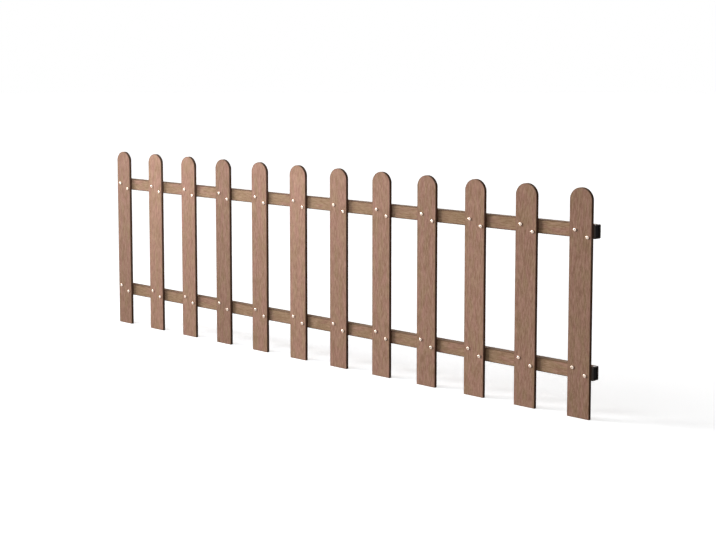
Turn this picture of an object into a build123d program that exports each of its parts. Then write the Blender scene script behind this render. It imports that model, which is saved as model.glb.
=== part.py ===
"""Composite garden fence panel: round-topped pickets fastened to the front of two hollow rails.

Millimetres. X runs along the fence to the right, Y from the front to the back, Z up. The origin is
the centre of the lower rail's back face, the face that is set against a post.
"""
import os

from build123d import *

# Panel
PANEL_LENGTH = 2000.0  # over the outer edges of the first and the last picket
PICKET_COUNT = 12

# Pickets, solid boards with a half-round top
PICKET_WIDTH = 70.0
PICKET_THICKNESS = 9.0
PICKET_HEIGHT = 600.0
PICKET_ARRIS_RADIUS = 1.5  # rounding that the extruded board has along its four long edges

# Rails, hollow extrusions that lie flat against the backs of the pickets
RAIL_HEIGHT = 37.0
RAIL_DEPTH = 26.0
RAIL_WALL = 5.0
RAIL_CORNER_RADIUS = 3.0
RAIL_CHAMBER_RADIUS = 1.5  # corners of the chamber inside the rail
RAIL_SPACING = 368.0  # between the middles of the two rails
FOOT_TO_LOWER_RAIL = 101.0  # from the foot of a picket to the underside of the lower rail

# End caps, moulded plugs that close the rails
CAP_HEAD_THICKNESS = 4.0
CAP_HEAD_CHAMFER = 1.0  # outer rim of the head
CAP_RIM_WIDTH = 3.0  # around the sunk face of the head
CAP_SINK_DEPTH = 2.5  # of that face below the rim
CAP_CLEARANCE = 0.2  # between the plug's fins and the rail's chamber
CAP_FIN_COUNT = 3
CAP_FIN_THICKNESS = 1.6
CAP_FIN_PITCH = 6.0
CAP_FIN_DEPTH = 1.5  # how far a fin stands out of the plug's core
CAP_CORE_WALL = 2.0

# Values that follow from the sizes above
PICKET_PITCH = (PANEL_LENGTH - PICKET_WIDTH) / (PICKET_COUNT - 1)
PICKET_TOP_RADIUS = PICKET_WIDTH / 2
PICKET_FOOT_Z = -RAIL_HEIGHT / 2 - FOOT_TO_LOWER_RAIL
RAIL_FRONT_Y = -RAIL_DEPTH
RAIL_HEIGHTS = {"lower": 0.0, "upper": RAIL_SPACING}
CHAMBER_DEPTH = RAIL_DEPTH - 2 * RAIL_WALL
CHAMBER_HEIGHT = RAIL_HEIGHT - 2 * RAIL_WALL
FIN_DEPTH = CHAMBER_DEPTH - 2 * CAP_CLEARANCE
FIN_HEIGHT = CHAMBER_HEIGHT - 2 * CAP_CLEARANCE
SUNK_FACE_DEPTH = RAIL_DEPTH - 2 * CAP_RIM_WIDTH
SUNK_FACE_HEIGHT = RAIL_HEIGHT - 2 * CAP_RIM_WIDTH
CORE_DEPTH = FIN_DEPTH - 2 * CAP_FIN_DEPTH
CORE_HEIGHT = FIN_HEIGHT - 2 * CAP_FIN_DEPTH
CORE_LENGTH = CAP_FIN_COUNT * CAP_FIN_PITCH


def make_picket() -> Part:
    """An extruded board cut to a half-round top, its foot on z = 0 and its back in the plane y = 0."""
    section = RectangleRounded(PICKET_WIDTH, PICKET_THICKNESS, PICKET_ARRIS_RADIUS)
    board = Pos(0, -PICKET_THICKNESS / 2, 0) * extrude(section, PICKET_HEIGHT)

    shoulder = PICKET_HEIGHT - PICKET_TOP_RADIUS
    foot = Line((-PICKET_TOP_RADIUS, 0), (PICKET_TOP_RADIUS, 0))
    right_edge = Line((PICKET_TOP_RADIUS, 0), (PICKET_TOP_RADIUS, shoulder))
    top = ThreePointArc((PICKET_TOP_RADIUS, shoulder), (0, PICKET_HEIGHT), (-PICKET_TOP_RADIUS, shoulder))
    left_edge = Line((-PICKET_TOP_RADIUS, shoulder), (-PICKET_TOP_RADIUS, 0))
    outline = make_face([foot, right_edge, top, left_edge])
    return board & extrude(Plane.XZ * outline, PICKET_THICKNESS)


def make_rail() -> Part:
    """A hollow rail along X, centred on x = 0, with the middle of its back face at the origin."""
    outer = RectangleRounded(RAIL_DEPTH, RAIL_HEIGHT, RAIL_CORNER_RADIUS)
    chamber = RectangleRounded(CHAMBER_DEPTH, CHAMBER_HEIGHT, RAIL_CHAMBER_RADIUS)
    section = Plane.YZ * (outer - chamber)
    return Pos(0, -RAIL_DEPTH / 2, 0) * extrude(section, PANEL_LENGTH / 2, both=True)


def make_cap() -> Part:
    """A right-hand end cap: its head starts at x = 0 and its finned plug reaches back along -X."""
    head_outline = RectangleRounded(RAIL_DEPTH, RAIL_HEIGHT, RAIL_CORNER_RADIUS)
    head = extrude(Plane.YZ * head_outline, CAP_HEAD_THICKNESS)
    head = chamfer(head.faces().sort_by(Axis.X)[-1].edges(), CAP_HEAD_CHAMFER)
    sunk_outline = RectangleRounded(SUNK_FACE_DEPTH, SUNK_FACE_HEIGHT, RAIL_CHAMBER_RADIUS)
    head -= Pos(CAP_HEAD_THICKNESS, 0, 0) * extrude(Plane.YZ * sunk_outline, -CAP_SINK_DEPTH)

    core_outline = Rectangle(CORE_DEPTH, CORE_HEIGHT)
    bore_outline = Rectangle(CORE_DEPTH - 2 * CAP_CORE_WALL, CORE_HEIGHT - 2 * CAP_CORE_WALL)
    plug = extrude(Plane.YZ * core_outline, -CORE_LENGTH)
    fin_outline = RectangleRounded(FIN_DEPTH, FIN_HEIGHT, RAIL_CHAMBER_RADIUS)
    fin = extrude(Plane.YZ * fin_outline, -CAP_FIN_THICKNESS)
    first_gap = CAP_FIN_PITCH - CAP_FIN_THICKNESS
    for index in range(CAP_FIN_COUNT):
        plug += Pos(-first_gap - index * CAP_FIN_PITCH, 0, 0) * fin
    plug -= extrude(Plane.YZ * bore_outline, -CORE_LENGTH)
    return Pos(0, -RAIL_DEPTH / 2, 0) * (head + plug)


def make_nodes() -> dict[str, Part]:
    """Every piece of the panel in its place, by the name of its node."""
    nodes = {}
    picket = make_picket()
    for index in range(PICKET_COUNT):
        x = (index - (PICKET_COUNT - 1) / 2) * PICKET_PITCH
        nodes[f"picket_{index + 1:02d}"] = Pos(x, RAIL_FRONT_Y, PICKET_FOOT_Z) * picket

    rail = make_rail()
    right_cap = make_cap()
    left_cap = mirror(right_cap, about=Plane.YZ)
    for level, z in RAIL_HEIGHTS.items():
        nodes[f"{level}_rail"] = Pos(0, 0, z) * rail
        nodes[f"{level}_rail_right_cap"] = Pos(PANEL_LENGTH / 2, 0, z) * right_cap
        nodes[f"{level}_rail_left_cap"] = Pos(-PANEL_LENGTH / 2, 0, z) * left_cap
    return nodes


os.makedirs("parts", exist_ok=True)
for name, shape in make_nodes().items():
    export_step(shape, f"parts/{name}.step")
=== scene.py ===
"""Looks of the composite garden fence panel: brushed composite boards, black rail caps and steel screws.

Metres, in the panel's own frame: X along the fence to the right, Y from the front to the back, Z up,
with the origin at the centre of the lower rail's back face.
"""

import logging
import math
import random
from dataclasses import dataclass
from enum import Enum

import bmesh
import bpy
from mathutils import Matrix, Vector


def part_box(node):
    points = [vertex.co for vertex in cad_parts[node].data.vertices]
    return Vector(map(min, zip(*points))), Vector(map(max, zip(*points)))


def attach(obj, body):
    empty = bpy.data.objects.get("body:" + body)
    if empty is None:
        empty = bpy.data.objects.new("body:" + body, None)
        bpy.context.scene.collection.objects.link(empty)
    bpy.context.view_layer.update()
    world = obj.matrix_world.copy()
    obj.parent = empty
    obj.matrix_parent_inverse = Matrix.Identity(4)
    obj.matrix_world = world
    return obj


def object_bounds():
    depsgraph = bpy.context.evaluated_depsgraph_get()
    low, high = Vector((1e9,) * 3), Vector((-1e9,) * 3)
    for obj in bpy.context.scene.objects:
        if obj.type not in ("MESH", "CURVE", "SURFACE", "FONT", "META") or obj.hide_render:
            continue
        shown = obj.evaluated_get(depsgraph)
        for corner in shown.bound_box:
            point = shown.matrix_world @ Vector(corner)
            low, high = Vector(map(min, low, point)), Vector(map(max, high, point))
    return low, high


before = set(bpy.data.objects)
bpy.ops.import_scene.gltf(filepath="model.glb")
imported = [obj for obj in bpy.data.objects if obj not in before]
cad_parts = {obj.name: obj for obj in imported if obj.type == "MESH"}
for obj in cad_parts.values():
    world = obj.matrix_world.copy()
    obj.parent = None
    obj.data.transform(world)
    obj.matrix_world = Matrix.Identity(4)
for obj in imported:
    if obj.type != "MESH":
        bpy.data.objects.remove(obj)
CAD_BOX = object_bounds()

LOG = logging.getLogger("fence")
BODY = "root"
MM = 0.001
FLOOR_GAP_MM = 0.2
PHOTO_WIDTH = 716
SENSOR_WIDTH_MM = 36.0

Colour = tuple[float, float, float, float]
NodeInput = bpy.types.NodeSocket | float | tuple


def linear(hex_colour: str) -> Colour:
    """Turns an sRGB hex colour into a linear one.

    Args:
        hex_colour: Six hex digits after a hash sign.

    Returns:
        Red, green and blue from 0 to 1, and an alpha of 1.
    """
    parts = [int(hex_colour[i:i + 2], 16) / 255 for i in (1, 3, 5)]
    red, green, blue = (p / 12.92 if p <= 0.04045 else ((p + 0.055) / 1.055) ** 2.4 for p in parts)
    return red, green, blue, 1.0


def add_node(
    tree: bpy.types.NodeTree,
    kind: str,
    inputs: dict[str | int, NodeInput] | None = None,
    out: str | int = 0,
    **settings: object,
) -> bpy.types.NodeSocket | None:
    """Adds a node with its settings, values and links.

    Args:
        tree: The node tree that the node goes into.
        kind: The node's type, such as "ShaderNodeMath".
        inputs: A value, or the socket that it comes from, for each input by name or number.
        out: The name or number of the output to hand back.
        **settings: The node's own properties.

    Returns:
        The chosen output, or None for a node that has none.
    """
    node = tree.nodes.new(kind)
    for name, value in settings.items():
        setattr(node, name, value)
    for key, value in (inputs or {}).items():
        if isinstance(value, bpy.types.NodeSocket):
            tree.links.new(value, node.inputs[key])
        else:
            node.inputs[key].default_value = value
    return node.outputs[out] if node.outputs else None


def new_tree(name: str) -> tuple[bpy.types.Material, bpy.types.NodeTree]:
    """Makes an empty node material.

    Args:
        name: The material's name.

    Returns:
        The material and its cleared node tree.
    """
    material = bpy.data.materials.new(name)
    material.use_nodes = True
    material.node_tree.nodes.clear()
    return material, material.node_tree


class Grain(Enum):
    """The axis that a finish's patterns are drawn out along."""

    ALONG = 0
    UPRIGHT = 2


@dataclass(frozen=True)
class Pattern:
    """A noise drawn out along the grain.

    Attributes:
        across_mm: Its size across the grain.
        along_mm: Its size along the grain.
        detail: How many finer octaves it holds.
    """

    across_mm: float
    along_mm: float
    detail: float = 2.0

    def scale(self, grain: Grain) -> tuple[float, ...]:
        """Gives the pattern's scale per metre along X, Y and Z."""
        sizes = (self.along_mm if axis == grain.value else self.across_mm for axis in range(3))
        return tuple(1 / (size * MM) for size in sizes)


@dataclass(frozen=True)
class Layer:
    """A tone laid over a finish where one of its patterns passes from one level to another.

    Attributes:
        pattern: The noise that decides where, with levels of about 0.3 to 0.7.
        start: The level where the tone begins to show.
        full: The level where it shows most.
        share: How far it covers the colour below it there.
        tone: The tone, as an sRGB hex colour.
    """

    pattern: Pattern
    start: float
    full: float
    share: float
    tone: str


# The real brush lines are about 1 mm wide. They are drawn three times as wide, so that they show.
BRUSH = Pattern(across_mm=3.0, along_mm=18.0, detail=3.0)
HAIR = Pattern(across_mm=1.4, along_mm=9.0)
CLOUD = Pattern(across_mm=18.0, along_mm=60.0)
FLECK = Pattern(across_mm=2.2, along_mm=5.0, detail=1.0)

# Grit of an eroded mould and its uneven gloss, and the clouding of a zinc plating.
GRIT = Pattern(across_mm=0.8, along_mm=0.8, detail=1.0)
MOTTLE = Pattern(across_mm=9.0, along_mm=9.0)
CLOUDING = Pattern(across_mm=2.5, along_mm=2.5)

# The levels that a noise hardly passes.
NOISE_RANGE = {"From Min": 0.3, "From Max": 0.7}


@dataclass(frozen=True)
class Finish:
    """What every finish shares: a face colour with tones laid over it by its patterns.

    Attributes:
        name: The material's name.
        face: The face's own colour.
        layers: The tones over it, lowest first.
        grain: The axis that the patterns are drawn out along.
    """

    name: str
    face: str
    layers: tuple[Layer, ...]
    grain: Grain = Grain.UPRIGHT

    def noises(self, tree: bpy.types.NodeTree) -> dict[Pattern, bpy.types.NodeSocket]:
        """Adds one noise for each pattern of the layers.

        Args:
            tree: The material's node tree.

        Returns:
            The noise's level by its pattern.
        """
        place = add_node(tree, "ShaderNodeTexCoord", out="Object")
        noises = {}
        for pattern in dict.fromkeys(layer.pattern for layer in self.layers):
            at = add_node(tree, "ShaderNodeMapping", {"Vector": place, "Scale": pattern.scale(self.grain)})
            settings = {"Vector": at, "Scale": 1.0, "Detail": pattern.detail}
            noises[pattern] = add_node(tree, "ShaderNodeTexNoise", settings)
        return noises

    def tones(self, tree: bpy.types.NodeTree, noises: dict[Pattern, bpy.types.NodeSocket]) -> NodeInput:
        """Lays the tones over the face colour.

        Args:
            tree: The material's node tree.
            noises: The levels of the patterns.

        Returns:
            The finished colour.
        """
        colour = linear(self.face)
        for layer in self.layers:
            levels = {"Value": noises[layer.pattern], "From Min": layer.start, "From Max": layer.full}
            cover = add_node(tree, "ShaderNodeMapRange", levels | {"To Max": layer.share})
            mixed = {0: cover, 6: colour, 7: linear(layer.tone)}
            colour = add_node(tree, "ShaderNodeMix", mixed, out=2, data_type="RGBA")
        return colour

    def facing(self, tree: bpy.types.NodeTree) -> list[bpy.types.NodeSocket]:
        """Tells how squarely the surface faces each axis.

        Args:
            tree: The material's node tree.

        Returns:
            A share from 0 to 1 for X, Y and Z.
        """
        normal = add_node(tree, "ShaderNodeNewGeometry", out="Normal")
        size = add_node(tree, "ShaderNodeVectorMath", {0: normal}, operation="ABSOLUTE")
        return list(add_node(tree, "ShaderNodeSeparateXYZ", {0: size}).node.outputs)


@dataclass(frozen=True)
class CompositeFinish(Finish):
    """Wood-plastic composite, extruded and wire-brushed.

    The wood flour gives a warm brown that drifts a little between rosy and olive, and the brush leaves
    short fine lines along the board, darker where it cut in and paler between, with hardly any gloss.
    The rounded arrises are painted darker, a painted shade along the edges.

    Attributes:
        arris_shade: The tone of the painted shade on the rounded arrises.
        arris_shade_share: How far that painted shade covers the arrises.
        relief_mm: How deep the brush lines are.
        relief_strength: How strongly they shade.
        ior: The refractive index, that of polyethylene and wood together.
        specular: The strength of the gloss, low because the brushed fibres scatter it.
        smoothest: The roughness between the brush lines.
        roughest: The roughness in the brush lines.
    """

    face: str = "#a07d6a"
    layers: tuple[Layer, ...] = (
        Layer(CLOUD, start=0.52, full=0.36, share=0.60, tone="#998062"),
        Layer(CLOUD, start=0.52, full=0.66, share=0.60, tone="#a87e71"),
        Layer(BRUSH, start=0.52, full=0.34, share=0.60, tone="#84634f"),
        Layer(BRUSH, start=0.52, full=0.70, share=0.60, tone="#b8947f"),
        Layer(HAIR, start=0.48, full=0.32, share=0.40, tone="#7c5c49"),
        Layer(FLECK, start=0.62, full=0.72, share=0.40, tone="#bd9b87"),
    )
    arris_shade: str = "#5f4637"
    arris_shade_share: float = 0.7
    relief_mm: float = 0.35
    relief_strength: float = 0.6
    ior: float = 1.46
    specular: float = 0.02
    smoothest: float = 0.80
    roughest: float = 0.95

    def mark(
        self, tree: bpy.types.NodeTree, colour: NodeInput, facing: list[bpy.types.NodeSocket]
    ) -> NodeInput:
        """Adds what only some boards have, which is nothing here."""
        return colour

    def material(self) -> bpy.types.Material:
        """Builds the material.

        Returns:
            The brushed composite with its grain, drift of tone, flecks and darker arrises.
        """
        material, tree = new_tree(self.name)
        noises = self.noises(tree)
        facing = self.facing(tree)
        colour = self.tones(tree, noises)

        # Only a rounded arris faces both the front or back and a narrow side.
        narrow = facing[0] if self.grain is Grain.UPRIGHT else facing[2]
        arris = add_node(tree, "ShaderNodeMath", {0: facing[1], 1: narrow}, operation="MULTIPLY")
        # Painted shade: the rounded arrises are darkened in the colour, where the edges turn away from the
        # light.
        levels = {"Value": arris, "From Min": 0.1, "From Max": 0.4, "To Max": self.arris_shade_share}
        shaded_arris = add_node(tree, "ShaderNodeMapRange", levels)
        mixed = {0: shaded_arris, 6: colour, 7: linear(self.arris_shade)}
        colour = add_node(tree, "ShaderNodeMix", mixed, out=2, data_type="RGBA")
        colour = self.mark(tree, colour, facing)

        height = {0: noises[HAIR], 1: 0.5, 2: noises[BRUSH]}
        relief = add_node(tree, "ShaderNodeMath", height, operation="MULTIPLY_ADD")
        lines = {"Strength": self.relief_strength, "Distance": self.relief_mm * MM, "Height": relief}
        gloss = NOISE_RANGE | {"Value": noises[HAIR], "To Min": self.smoothest, "To Max": self.roughest}
        shader = add_node(tree, "ShaderNodeBsdfPrincipled", {
            "Base Color": colour,
            "Roughness": add_node(tree, "ShaderNodeMapRange", gloss),
            "Normal": add_node(tree, "ShaderNodeBump", lines),
            "IOR": self.ior,
            "Specular IOR Level": self.specular,
        })
        add_node(tree, "ShaderNodeOutputMaterial", {"Surface": shader})
        return material


@dataclass(frozen=True)
class BoardRow:
    """Where the boards of a row stand.

    Attributes:
        start: The middle of the gap before the first board, along X.
        pitch: From one board's middle to the next one's.
        radius: The radius of the half-round top.
        shoulder: The height where that top begins.
        foot: The height of the sawn foot.
    """

    start: float
    pitch: float
    radius: float
    shoulder: float
    foot: float


@dataclass(frozen=True, kw_only=True)
class PicketFinish(CompositeFinish):
    """The brushed composite on the pickets: each board from a batch of its own, its ends sawn.

    The boards differ a little in tone, and the sawn edges are darker than the brushed faces, with a
    thin dark line where the edge meets the face.

    Attributes:
        row: The boards that differ in tone.
        sawn: The tone of a sawn edge.
        cut_share: How far that tone covers a sawn edge.
        line_mm: The width of the dark line along the outline.
        line_share: How far the sawn tone covers that line at the edge.
        palest: The brightness of the palest board, the mean being about 1.
        darkest: The brightness of the darkest board.
        batch: The seed that the boards' tones follow.
        edge_on: How little an edge faces the front or the back, at most.
    """

    row: BoardRow
    sawn: str = "#654c3c"
    cut_share: float = 0.85
    line_mm: float = 3.0
    line_share: float = 0.6
    palest: float = 1.12
    darkest: float = 0.85
    batch: int = 1
    edge_on: float = 0.3

    def mark(
        self, tree: bpy.types.NodeTree, colour: NodeInput, facing: list[bpy.types.NodeSocket]
    ) -> NodeInput:
        """Gives each board a tone of its own and darkens the sawn edges.

        Args:
            tree: The material's node tree.
            colour: The brushed colour.
            facing: How squarely the surface faces each axis.

        Returns:
            The colour with the boards told apart.
        """
        place = add_node(tree, "ShaderNodeTexCoord", out="Object")
        spot = add_node(tree, "ShaderNodeSeparateXYZ", {0: place}).node.outputs
        first = {"From Min": self.row.start, "To Min": self.batch}
        second = {"From Max": self.row.start + self.row.pitch, "To Max": self.batch + 1}
        step = add_node(tree, "ShaderNodeMapRange", {"Value": spot[0]} | first | second, clamp=False)
        shaded = {0: 1.0, 6: colour, 7: self.shade(tree, step)}
        colour = add_node(tree, "ShaderNodeMix", shaded, out=2, data_type="RGBA", blend_type="MULTIPLY")

        within = add_node(tree, "ShaderNodeMath", {0: step}, operation="FRACT")
        halves = {"Value": within, "To Min": -self.row.pitch / 2, "To Max": self.row.pitch / 2}
        across = add_node(tree, "ShaderNodeMapRange", halves)
        rise = add_node(tree, "ShaderNodeMath", {0: spot[2], 1: self.row.shoulder}, operation="SUBTRACT")
        above = add_node(tree, "ShaderNodeMath", {0: rise, 1: 0.0}, operation="MAXIMUM")
        line = self.outline(tree, across, above, spot[2])
        sawn = self.sawn_ends(tree, above, spot[2], facing[1])
        cover = add_node(tree, "ShaderNodeMath", {0: sawn, 1: line}, operation="MAXIMUM")
        mixed = {0: cover, 6: colour, 7: linear(self.sawn)}
        return add_node(tree, "ShaderNodeMix", mixed, out=2, data_type="RGBA")

    def shade(self, tree: bpy.types.NodeTree, step: bpy.types.NodeSocket) -> bpy.types.NodeSocket:
        """Draws a brightness for each board.

        Args:
            tree: The material's node tree.
            step: The boards' count along the row, which rises by one per pitch.

        Returns:
            The brightness, the same all over a board.
        """
        board = add_node(tree, "ShaderNodeMath", {0: step}, operation="FLOOR")
        chance = add_node(tree, "ShaderNodeTexWhiteNoise", {"W": board}, noise_dimensions="1D")
        limits = {"Value": chance, "To Min": self.darkest, "To Max": self.palest}
        return add_node(tree, "ShaderNodeMapRange", limits)

    def outline(
        self,
        tree: bpy.types.NodeTree,
        across: bpy.types.NodeSocket,
        above: bpy.types.NodeSocket,
        height: bpy.types.NodeSocket,
    ) -> bpy.types.NodeSocket:
        """Finds the dark line along the sides, the round top and the foot of a board.

        Args:
            tree: The material's node tree.
            across: The distance from the board's middle.
            above: The height above the shoulder, or 0 below it.
            height: The height in the panel's frame.

        Returns:
            How far the sawn tone covers the face there.
        """
        width = self.line_mm * MM
        outward = add_node(tree, "ShaderNodeCombineXYZ", {0: across, 2: above})
        reach = add_node(tree, "ShaderNodeVectorMath", {0: outward}, out="Value", operation="LENGTH")
        levels = {"From Min": self.row.radius - width, "From Max": self.row.radius, "To Max": self.line_share}
        around = add_node(tree, "ShaderNodeMapRange", levels | {"Value": reach})
        levels = {"From Min": self.row.foot + width, "From Max": self.row.foot, "To Max": self.line_share}
        below = add_node(tree, "ShaderNodeMapRange", levels | {"Value": height})
        return add_node(tree, "ShaderNodeMath", {0: around, 1: below}, operation="MAXIMUM")

    def sawn_ends(
        self,
        tree: bpy.types.NodeTree,
        above: bpy.types.NodeSocket,
        height: bpy.types.NodeSocket,
        front: bpy.types.NodeSocket,
    ) -> bpy.types.NodeSocket:
        """Finds the sawn edges of the round top and the foot.

        Args:
            tree: The material's node tree.
            above: The height above the shoulder, or 0 below it.
            height: The height in the panel's frame.
            front: How squarely the surface faces the front or the back.

        Returns:
            How far the sawn tone covers the edge there.
        """
        top = add_node(tree, "ShaderNodeMath", {0: above, 1: 0.0}, operation="GREATER_THAN")
        foot = add_node(tree, "ShaderNodeMath", {0: height, 1: self.row.foot + MM}, operation="LESS_THAN")
        ends = add_node(tree, "ShaderNodeMath", {0: top, 1: foot}, operation="MAXIMUM")
        edge = add_node(tree, "ShaderNodeMath", {0: front, 1: self.edge_on}, operation="LESS_THAN")
        cut = add_node(tree, "ShaderNodeMath", {0: ends, 1: edge}, operation="MULTIPLY")
        return add_node(tree, "ShaderNodeMath", {0: cut, 1: self.cut_share}, operation="MULTIPLY")


@dataclass(frozen=True, kw_only=True)
class CapFinish(Finish):
    """Black polyethylene, injection moulded in an eroded tool.

    It is near black and dull and slightly mottled; the rim and sides of the head carry a painted highlight.

    Attributes:
        reach: How far the rims lie from the middle of the panel.
        rim_mm: How far the painted highlight goes down from the rim.
        rim_highlight_tone: The tone of the painted highlight on the rim and sides.
        grit_mm: How deep the tool's texture is.
        grit_strength: How strongly it shades.
        ior: The refractive index of polyethylene.
        specular: The strength of the gloss, low because the texture scatters it.
        smoothest: The roughness where the mottling is darkest.
        roughest: The roughness where it is palest.
    """

    name: str = "moulded_black_polyethylene"
    face: str = "#0d0b0a"
    layers: tuple[Layer, ...] = (
        Layer(MOTTLE, start=0.45, full=0.70, share=0.8, tone="#1f1a17"),
        Layer(GRIT, start=0.55, full=0.75, share=0.5, tone="#241f1c"),
    )
    reach: float
    rim_mm: float = 2.0
    rim_highlight_tone: str = "#6d645e"
    grit_mm: float = 0.05
    grit_strength: float = 0.25
    ior: float = 1.51
    specular: float = 0.04
    smoothest: float = 0.45
    roughest: float = 0.65

    def material(self) -> bpy.types.Material:
        """Builds the material.

        Returns:
            The moulded plastic with its eroded texture and the painted highlight on its head.
        """
        material, tree = new_tree(self.name)
        noises = self.noises(tree)
        colour = self.tones(tree, noises)

        # Painted highlight: the rim and the sides of the head are painted greyer than the sunk face, as if
        # they caught the light.
        place = add_node(tree, "ShaderNodeTexCoord", out="Object")
        across = add_node(tree, "ShaderNodeSeparateXYZ", {0: place}, out="X")
        away = add_node(tree, "ShaderNodeMath", {0: across}, operation="ABSOLUTE")
        levels = {"Value": away, "From Min": self.reach - self.rim_mm * MM, "From Max": self.reach}
        rim_highlight_mask = add_node(tree, "ShaderNodeMapRange", levels)
        sides = add_node(tree, "ShaderNodeMath", {0: 1.0, 1: self.facing(tree)[0]}, operation="SUBTRACT")
        rim = add_node(tree, "ShaderNodeMath", {0: rim_highlight_mask, 1: sides}, operation="MAXIMUM")
        mixed = {0: rim, 6: colour, 7: linear(self.rim_highlight_tone)}
        colour = add_node(tree, "ShaderNodeMix", mixed, out=2, data_type="RGBA")

        texture = {"Strength": self.grit_strength, "Distance": self.grit_mm * MM, "Height": noises[GRIT]}
        gloss = {"Value": noises[MOTTLE], "To Min": self.smoothest, "To Max": self.roughest}
        shader = add_node(tree, "ShaderNodeBsdfPrincipled", {
            "Base Color": colour,
            "Roughness": add_node(tree, "ShaderNodeMapRange", gloss),
            "Normal": add_node(tree, "ShaderNodeBump", texture),
            "IOR": self.ior,
            "Specular IOR Level": self.specular,
        })
        add_node(tree, "ShaderNodeOutputMaterial", {"Surface": shader})
        return material


@dataclass(frozen=True)
class ScrewFinish(Finish):
    """Zinc-plated steel, cold headed and bright.

    It mirrors the pale room softly and warmly, a little clouded by the plating.

    Attributes:
        pitting_mm: How deep the unevenness of the plating is.
        pitting_strength: How strongly it shades.
        smoothest: The roughness of the clear plating.
        roughest: The roughness of the clouded plating.
    """

    name: str = "bright_zinc_plated_steel"
    face: str = "#d8c8bb"
    layers: tuple[Layer, ...] = (Layer(CLOUDING, start=0.40, full=0.65, share=0.8, tone="#b3a192"),)
    pitting_mm: float = 0.03
    pitting_strength: float = 0.3
    smoothest: float = 0.26
    roughest: float = 0.44

    def material(self) -> bpy.types.Material:
        """Builds the material.

        Returns:
            The plated steel with its clouding.
        """
        material, tree = new_tree(self.name)
        noises = self.noises(tree)
        clouds = noises[CLOUDING]
        gloss = NOISE_RANGE | {"Value": clouds, "To Min": self.smoothest, "To Max": self.roughest}
        pits = {"Strength": self.pitting_strength, "Distance": self.pitting_mm * MM, "Height": clouds}
        shader = add_node(tree, "ShaderNodeBsdfPrincipled", {
            "Base Color": self.tones(tree, noises),
            "Roughness": add_node(tree, "ShaderNodeMapRange", gloss),
            "Normal": add_node(tree, "ShaderNodeBump", pits),
            "Metallic": 1.0,
        })
        add_node(tree, "ShaderNodeOutputMaterial", {"Surface": shader})
        return material


def dress(node: bpy.types.Object, material: bpy.types.Material) -> None:
    """Gives an object one material and reports it.

    Args:
        node: The object to dress.
        material: The material that takes the place of all others.
    """
    node.data.materials.clear()
    node.data.materials.append(material)
    LOG.info("dressed %s in %s", node.name, material.name)


@dataclass
class Pickets:
    """The upright boards, as the solids give them.

    Attributes:
        names: The boards' nodes, from left to right.
    """

    names: list[str]

    def row(self) -> BoardRow:
        """Reads the boards' pitch, shoulder and foot from the solids.

        Returns:
            The row that the finish tells the boards apart by.
        """
        low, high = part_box(self.names[0])
        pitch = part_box(self.names[1])[0].x - low.x
        width = high.x - low.x
        start = (low.x + high.x - pitch) / 2
        shoulder = high.z - width / 2
        return BoardRow(start=start, pitch=pitch, radius=width / 2, shoulder=shoulder, foot=low.z)

    def dress(self) -> None:
        """Gives every board the upright brushed composite."""
        material = PicketFinish("brushed_composite_upright_grain", row=self.row()).material()
        for name in self.names:
            dress(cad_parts[name], material)


@dataclass
class Rails:
    """The two hollow rails and the caps that close them.

    Attributes:
        rails: The rails' nodes.
        caps: The caps' nodes.
        face: The rails' face colour, a little more olive than the pickets'.
    """

    rails: list[str]
    caps: list[str]
    face: str = "#9d8166"

    def dress(self) -> None:
        """Gives the rails the lengthwise brushed composite and the caps the black plastic."""
        brushed = CompositeFinish("brushed_composite_lengthwise_grain", face=self.face, grain=Grain.ALONG)
        composite = brushed.material()
        for name in self.rails:
            dress(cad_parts[name], composite)
        plastic = CapFinish(reach=CAD_BOX[1].x).material()
        for name in self.caps:
            dress(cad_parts[name], plastic)


def of_kind(geometry: list[bmesh.types.BMVert | bmesh.types.BMEdge], kind: type) -> list:
    """Picks the items of one kind, vertices or edges, from what an operator made."""
    return [item for item in geometry if isinstance(item, kind)]


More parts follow.
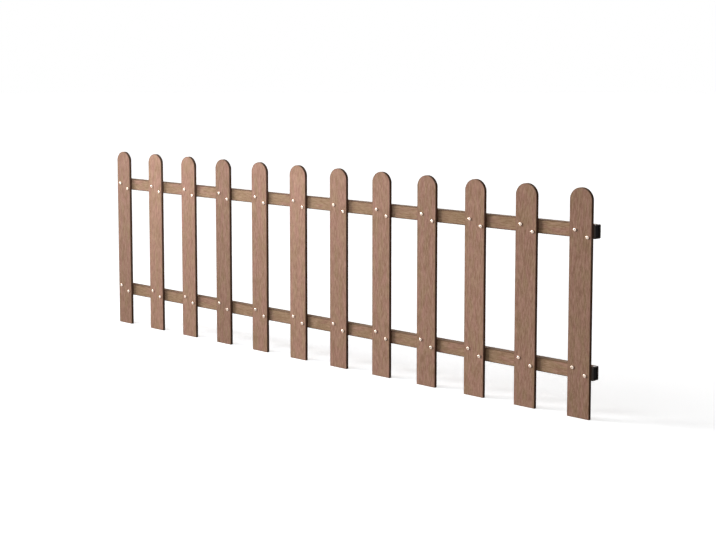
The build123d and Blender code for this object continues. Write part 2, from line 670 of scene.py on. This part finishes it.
@dataclass
class ScrewRow:
    """The pan-head screws that hold the pickets to one rail, two on a slant at each crossing.

    Attributes:
        name: The piece's name.
        rail: The rail that the screws go into.
        pickets: The boards that they hold.
        left_mm: The left screw's place from the crossing's middle, across and up.
        right_mm: The right screw's place from the crossing's middle, across and up.
        head_diameter_mm: The head's diameter at its seat.
        head_height_mm: How far the head stands out of the board.
        crown_diameter_mm: The diameter of the flat crown.
        side_share: How much of the height the upright side takes.
        recess_width_mm: The width of an arm of the cross recess.
        recess_length_mm: The length of the cross recess over two arms.
        recess_depth_mm: The depth of the cross recess.
        recess_taper: How large the recess's floor is against its mouth.
        sides: How many sides make up the round of the head.
        seed: The seed that the heads' turns follow.
    """

    name: str
    rail: str
    pickets: list[str]
    left_mm: tuple[float, float]
    right_mm: tuple[float, float]
    head_diameter_mm: float = 9.8
    head_height_mm: float = 2.8
    crown_diameter_mm: float = 6.0
    side_share: float = 0.25
    recess_width_mm: float = 1.2
    recess_length_mm: float = 4.8
    recess_depth_mm: float = 1.5
    recess_taper: float = 0.6
    sides: int = 24
    seed: int = 7

    def head(self) -> bmesh.types.BMesh:
        """Models one head about the Z axis, its seat on z = 0.

        Returns:
            A closed pan head with a cross recess, in metres.
        """
        mesh = bmesh.new()
        bmesh.ops.create_circle(mesh, segments=self.sides, radius=self.crown_diameter_mm / 2 * MM)
        bmesh.ops.translate(mesh, verts=mesh.verts, vec=(0, 0, self.head_height_mm * MM))
        rim = list(mesh.edges)
        self.sink_recess(mesh, rim)
        self.drop_skirt(mesh, rim)
        bmesh.ops.remove_doubles(mesh, verts=mesh.verts, dist=0.01 * MM)
        bmesh.ops.recalc_face_normals(mesh, faces=mesh.faces)
        return mesh

    def sink_recess(self, mesh: bmesh.types.BMesh, rim: list[bmesh.types.BMEdge]) -> None:
        """Fills the crown up to a tapered cross recess.

        Args:
            mesh: The head.
            rim: The edges round the crown.
        """
        crown_z = self.head_height_mm * MM
        half, arm = self.recess_width_mm / 2, self.recess_length_mm / 2
        quarter = [(arm, half), (half, half), (half, arm)]
        corners = []
        for turn in range(4):
            swing = Matrix.Rotation(math.radians(90 * turn), 3, "Z")
            corners += [mesh.verts.new(swing @ Vector((x * MM, y * MM, crown_z))) for x, y in quarter]
        mouth = [mesh.edges.new(ends) for ends in zip(corners, corners[1:] + corners[:1])]
        bmesh.ops.bridge_loops(mesh, edges=rim + mouth)

        walls = bmesh.ops.extrude_edge_only(mesh, edges=mouth)["geom"]
        deep = of_kind(walls, bmesh.types.BMVert)
        bmesh.ops.translate(mesh, verts=deep, vec=(0, 0, -self.recess_depth_mm * MM))
        bmesh.ops.scale(mesh, verts=deep, vec=(self.recess_taper, self.recess_taper, 1))
        bmesh.ops.contextual_create(mesh, geom=of_kind(walls, bmesh.types.BMEdge))

    def drop_skirt(self, mesh: bmesh.types.BMesh, rim: list[bmesh.types.BMEdge]) -> None:
        """Rounds the head from the crown down to its side and closes it at the seat.

        Args:
            mesh: The head.
            rim: The edges round the crown.
        """
        loop = rim
        reach = self.head_diameter_mm / self.crown_diameter_mm
        radius = 1.0
        for angle in (30, 60, 90):
            skirt = bmesh.ops.extrude_edge_only(mesh, edges=loop)["geom"]
            verts = of_kind(skirt, bmesh.types.BMVert)
            loop = of_kind(skirt, bmesh.types.BMEdge)
            wide = 1 + (reach - 1) * math.sin(math.radians(angle))
            bmesh.ops.scale(mesh, verts=verts, vec=(wide / radius, wide / radius, 1))
            radius = wide
            drop = (1 - self.side_share) * math.cos(math.radians(angle))
            for vert in verts:
                vert.co.z = self.head_height_mm * MM * (self.side_share + drop)
        skirt = bmesh.ops.extrude_edge_only(mesh, edges=loop)["geom"]
        for vert in of_kind(skirt, bmesh.types.BMVert):
            vert.co.z = 0.0
        bmesh.ops.contextual_create(mesh, geom=of_kind(skirt, bmesh.types.BMEdge))

    def places(self) -> list[Vector]:
        """Works out where the heads sit.

        Returns:
            The middle of each head's seat, on the pickets' fronts.
        """
        low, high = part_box(self.rail)
        middle = (low.z + high.z) / 2
        spots = []
        for picket in self.pickets:
            left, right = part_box(picket)
            for across, up in (self.left_mm, self.right_mm):
                spots.append(Vector(((left.x + right.x) / 2 + across * MM, left.y, middle + up * MM)))
        return spots

    def build(self, material: bpy.types.Material) -> bpy.types.Object:
        """Sets a turned copy of the head at every place, as one piece.

        Args:
            material: The screws' finish.

        Returns:
            The piece, riding on the panel.
        """
        turns = random.Random(self.seed)
        single = self.head()
        head = bpy.data.meshes.new(self.name + "_head")
        single.to_mesh(head)
        single.free()
        joined = bmesh.new()
        upright = Matrix.Rotation(math.radians(90), 4, "X")
        for spot in self.places():
            before = len(joined.verts)
            joined.from_mesh(head)
            joined.verts.ensure_lookup_table()
            turn = Matrix.Rotation(turns.uniform(0, math.pi / 2), 4, "Z")
            seat = Matrix.Translation(spot) @ upright @ turn
            bmesh.ops.transform(joined, matrix=seat, verts=joined.verts[before:])
        mesh = bpy.data.meshes.new(self.name)
        joined.to_mesh(mesh)
        joined.free()
        bpy.data.meshes.remove(head)
        piece = bpy.data.objects.new(self.name, mesh)
        bpy.context.scene.collection.objects.link(piece)
        dress(piece, material)
        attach(piece, BODY)
        LOG.info("built %s with %d heads", self.name, len(self.places()))
        return piece


@dataclass(frozen=True)
class BroadLight:
    """An even, soft light from one side.

    Attributes:
        name: The lamp's name.
        turn: Degrees to the left of the panel's front that it comes from.
        rise: Degrees above the horizon.
        spread: How many degrees wide it is, which softens the shadows.
        strength: Its strength in watts per square metre.
    """

    name: str
    turn: float
    rise: float
    spread: float
    strength: float

    def build(self) -> None:
        """Adds the lamp."""
        data = bpy.data.lights.new(self.name, "SUN")
        data.energy = self.strength
        data.angle = math.radians(self.spread)
        lamp = bpy.data.objects.new(self.name, data)
        lamp.rotation_euler = (math.radians(90 - self.rise), 0, math.radians(-self.turn))
        bpy.context.scene.collection.objects.link(lamp)


@dataclass(frozen=True)
class Softbox:
    """A long softbox upright before the panel, which brightens the boards near it towards their tops.

    Attributes:
        name: The lamp's name.
        at: Its middle, in metres.
        width: Its width along the panel.
        height: Its height.
        watts: Its power.
        tint: Its colour.
    """

    name: str
    at: tuple[float, float, float]
    width: float
    height: float
    watts: float
    tint: str

    def build(self) -> None:
        """Adds the lamp, unseen by the camera."""
        data = bpy.data.lights.new(self.name, "AREA")
        data.energy = self.watts
        data.color = linear(self.tint)[:3]
        data.shape = "RECTANGLE"
        data.size = self.width
        data.size_y = self.height
        lamp = bpy.data.objects.new(self.name, data)
        lamp.location = self.at
        lamp.rotation_euler = (math.radians(90), 0, 0)
        lamp.visible_camera = False
        bpy.context.scene.collection.objects.link(lamp)


@dataclass
class Studio:
    """A white floor and room, a broad light from the left, weaker ones before and behind, and a softbox.

    Attributes:
        floor_z: The height of the floor.
        floor_radius: The radius of the round floor.
        floor_sides: How many sides make up its round.
        floor_white: The floor's colour to the eye.
        floor_lift: The light that it gives off to the eye, so that it is white outside the shadow.
        floor_bounce: The floor's colour for the light that it throws back on the panel.
        ambient: The strength of the room's light on the panel.
        lights: The lamps.
    """

    floor_z: float
    floor_radius: float = 30.0
    floor_sides: int = 96
    floor_white: str = "#f4f4f4"
    floor_lift: float = 0.6
    floor_bounce: str = "#404040"
    ambient: float = 0.17
    lights: tuple[BroadLight | Softbox, ...] = (
        BroadLight("left_sky", turn=66.0, rise=11.0, spread=30.0, strength=4.7),
        BroadLight("front_sky", turn=8.0, rise=12.0, spread=60.0, strength=0.85),
        BroadLight("back_sky", turn=145.0, rise=3.0, spread=14.0, strength=2.8),
        Softbox(
            "near_softbox", at=(-1.3, -0.62, 0.66), width=3.0, height=0.3, watts=10.5, tint="#ebf3ff"
        ),
    )

    def seen_by_eye(self, tree: bpy.types.NodeTree) -> bpy.types.NodeSocket:
        """Tells the rays that should find a white room from those that light the panel.

        Args:
            tree: The node tree that asks.

        Returns:
            1 for camera, glossy and transmission rays, and 0 for others.
        """
        rays = add_node(tree, "ShaderNodeLightPath").node.outputs
        either = {0: rays["Is Camera Ray"], 1: rays["Is Glossy Ray"]}
        eye = add_node(tree, "ShaderNodeMath", either, operation="MAXIMUM")
        any_of = {0: eye, 1: rays["Is Transmission Ray"]}
        return add_node(tree, "ShaderNodeMath", any_of, operation="MAXIMUM")

    def room(self) -> None:
        """Makes a world that is white to the eye and a dim fill to the object."""
        world = bpy.data.worlds.new("white_room")
        world.use_nodes = True
        tree = world.node_tree
        tree.nodes.clear()
        fill = add_node(tree, "ShaderNodeBackground", {"Strength": self.ambient, "Color": (1, 1, 1, 1)})
        white = add_node(tree, "ShaderNodeBackground", {"Strength": 1.0, "Color": (1, 1, 1, 1)})
        either = add_node(tree, "ShaderNodeMixShader", {0: self.seen_by_eye(tree), 1: fill, 2: white})
        add_node(tree, "ShaderNodeOutputWorld", {"Surface": either})
        bpy.context.scene.world = world

    def floor(self) -> None:
        """Lays a round white floor under the feet, which keeps the panel's shadow."""
        material, tree = new_tree("matt_white_floor")
        bounce = add_node(tree, "ShaderNodeBsdfDiffuse", {"Color": linear(self.floor_bounce)})
        paper = add_node(tree, "ShaderNodeBsdfDiffuse", {"Color": linear(self.floor_white)})
        lift = add_node(tree, "ShaderNodeEmission", {"Strength": self.floor_lift})
        lit = add_node(tree, "ShaderNodeAddShader", {0: paper, 1: lift})
        either = add_node(tree, "ShaderNodeMixShader", {0: self.seen_by_eye(tree), 1: bounce, 2: lit})
        add_node(tree, "ShaderNodeOutputMaterial", {"Surface": either})

        disc = bmesh.new()
        bmesh.ops.create_circle(disc, segments=self.floor_sides, radius=self.floor_radius, cap_ends=True)
        bmesh.ops.translate(disc, verts=disc.verts, vec=(0, 0, self.floor_z))
        mesh = bpy.data.meshes.new("floor")
        disc.to_mesh(mesh)
        disc.free()
        mesh.materials.append(material)
        piece = bpy.data.objects.new("floor", mesh)
        bpy.context.scene.collection.objects.link(piece)

    def build(self) -> None:
        """Makes the room, the floor and the lamps."""
        self.room()
        self.floor()
        for light in self.lights:
            light.build()
        LOG.info("lit the studio with %d lamps", len(self.lights))


@dataclass
class PhotoCamera:
    """A camera at the photograph's place, to the right of the panel and a little above it.

    Attributes:
        at: Where it stands, in metres.
        turn: Degrees that it looks to the left of the panel's depth.
        dip: Degrees that it looks down.
        focal_px: Its focal length in the photograph's pixels.
        drop_px: How far the photograph's middle lies below the lens's axis.
    """

    at: tuple[float, float, float] = (3.147, -3.092, 0.8225)
    turn: float = 44.23
    dip: float = 5.68
    focal_px: float = 1462.0
    drop_px: float = 72.0

    def build(self) -> None:
        """Makes the camera and sets it as the scene's own."""
        data = bpy.data.cameras.new("photo_camera")
        data.sensor_width = SENSOR_WIDTH_MM
        data.lens = self.focal_px / PHOTO_WIDTH * SENSOR_WIDTH_MM
        data.shift_y = -self.drop_px / PHOTO_WIDTH
        camera = bpy.data.objects.new("photo_camera", data)
        camera.location = self.at
        camera.rotation_euler = (math.radians(90 - self.dip), 0, math.radians(self.turn))
        bpy.context.scene.collection.objects.link(camera)
        bpy.context.scene.camera = camera
        LOG.info("set the camera")


def main() -> None:
    """Builds the panel's looks in order: boards, rails, screws, studio and camera."""
    logging.basicConfig(level=logging.INFO, format="%(name)s: %(message)s")
    bpy.context.scene.view_settings.view_transform = "Standard"
    pickets = sorted(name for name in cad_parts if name.startswith("picket_"))
    caps = sorted(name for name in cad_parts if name.endswith("_cap"))
    Pickets(pickets).dress()
    Rails(["lower_rail", "upper_rail"], caps).dress()
    steel = ScrewFinish().material()
    ScrewRow("upper_rail_screws", "upper_rail", pickets, (-17.0, 2.5), (22.5, -14.5), seed=7).build(steel)
    ScrewRow("lower_rail_screws", "lower_rail", pickets, (-19.0, 11.5), (20.5, -5.5), seed=11).build(steel)
    Studio(floor_z=CAD_BOX[0].z - FLOOR_GAP_MM * MM).build()
    PhotoCamera().build()


if __name__ == "__main__":
    main()
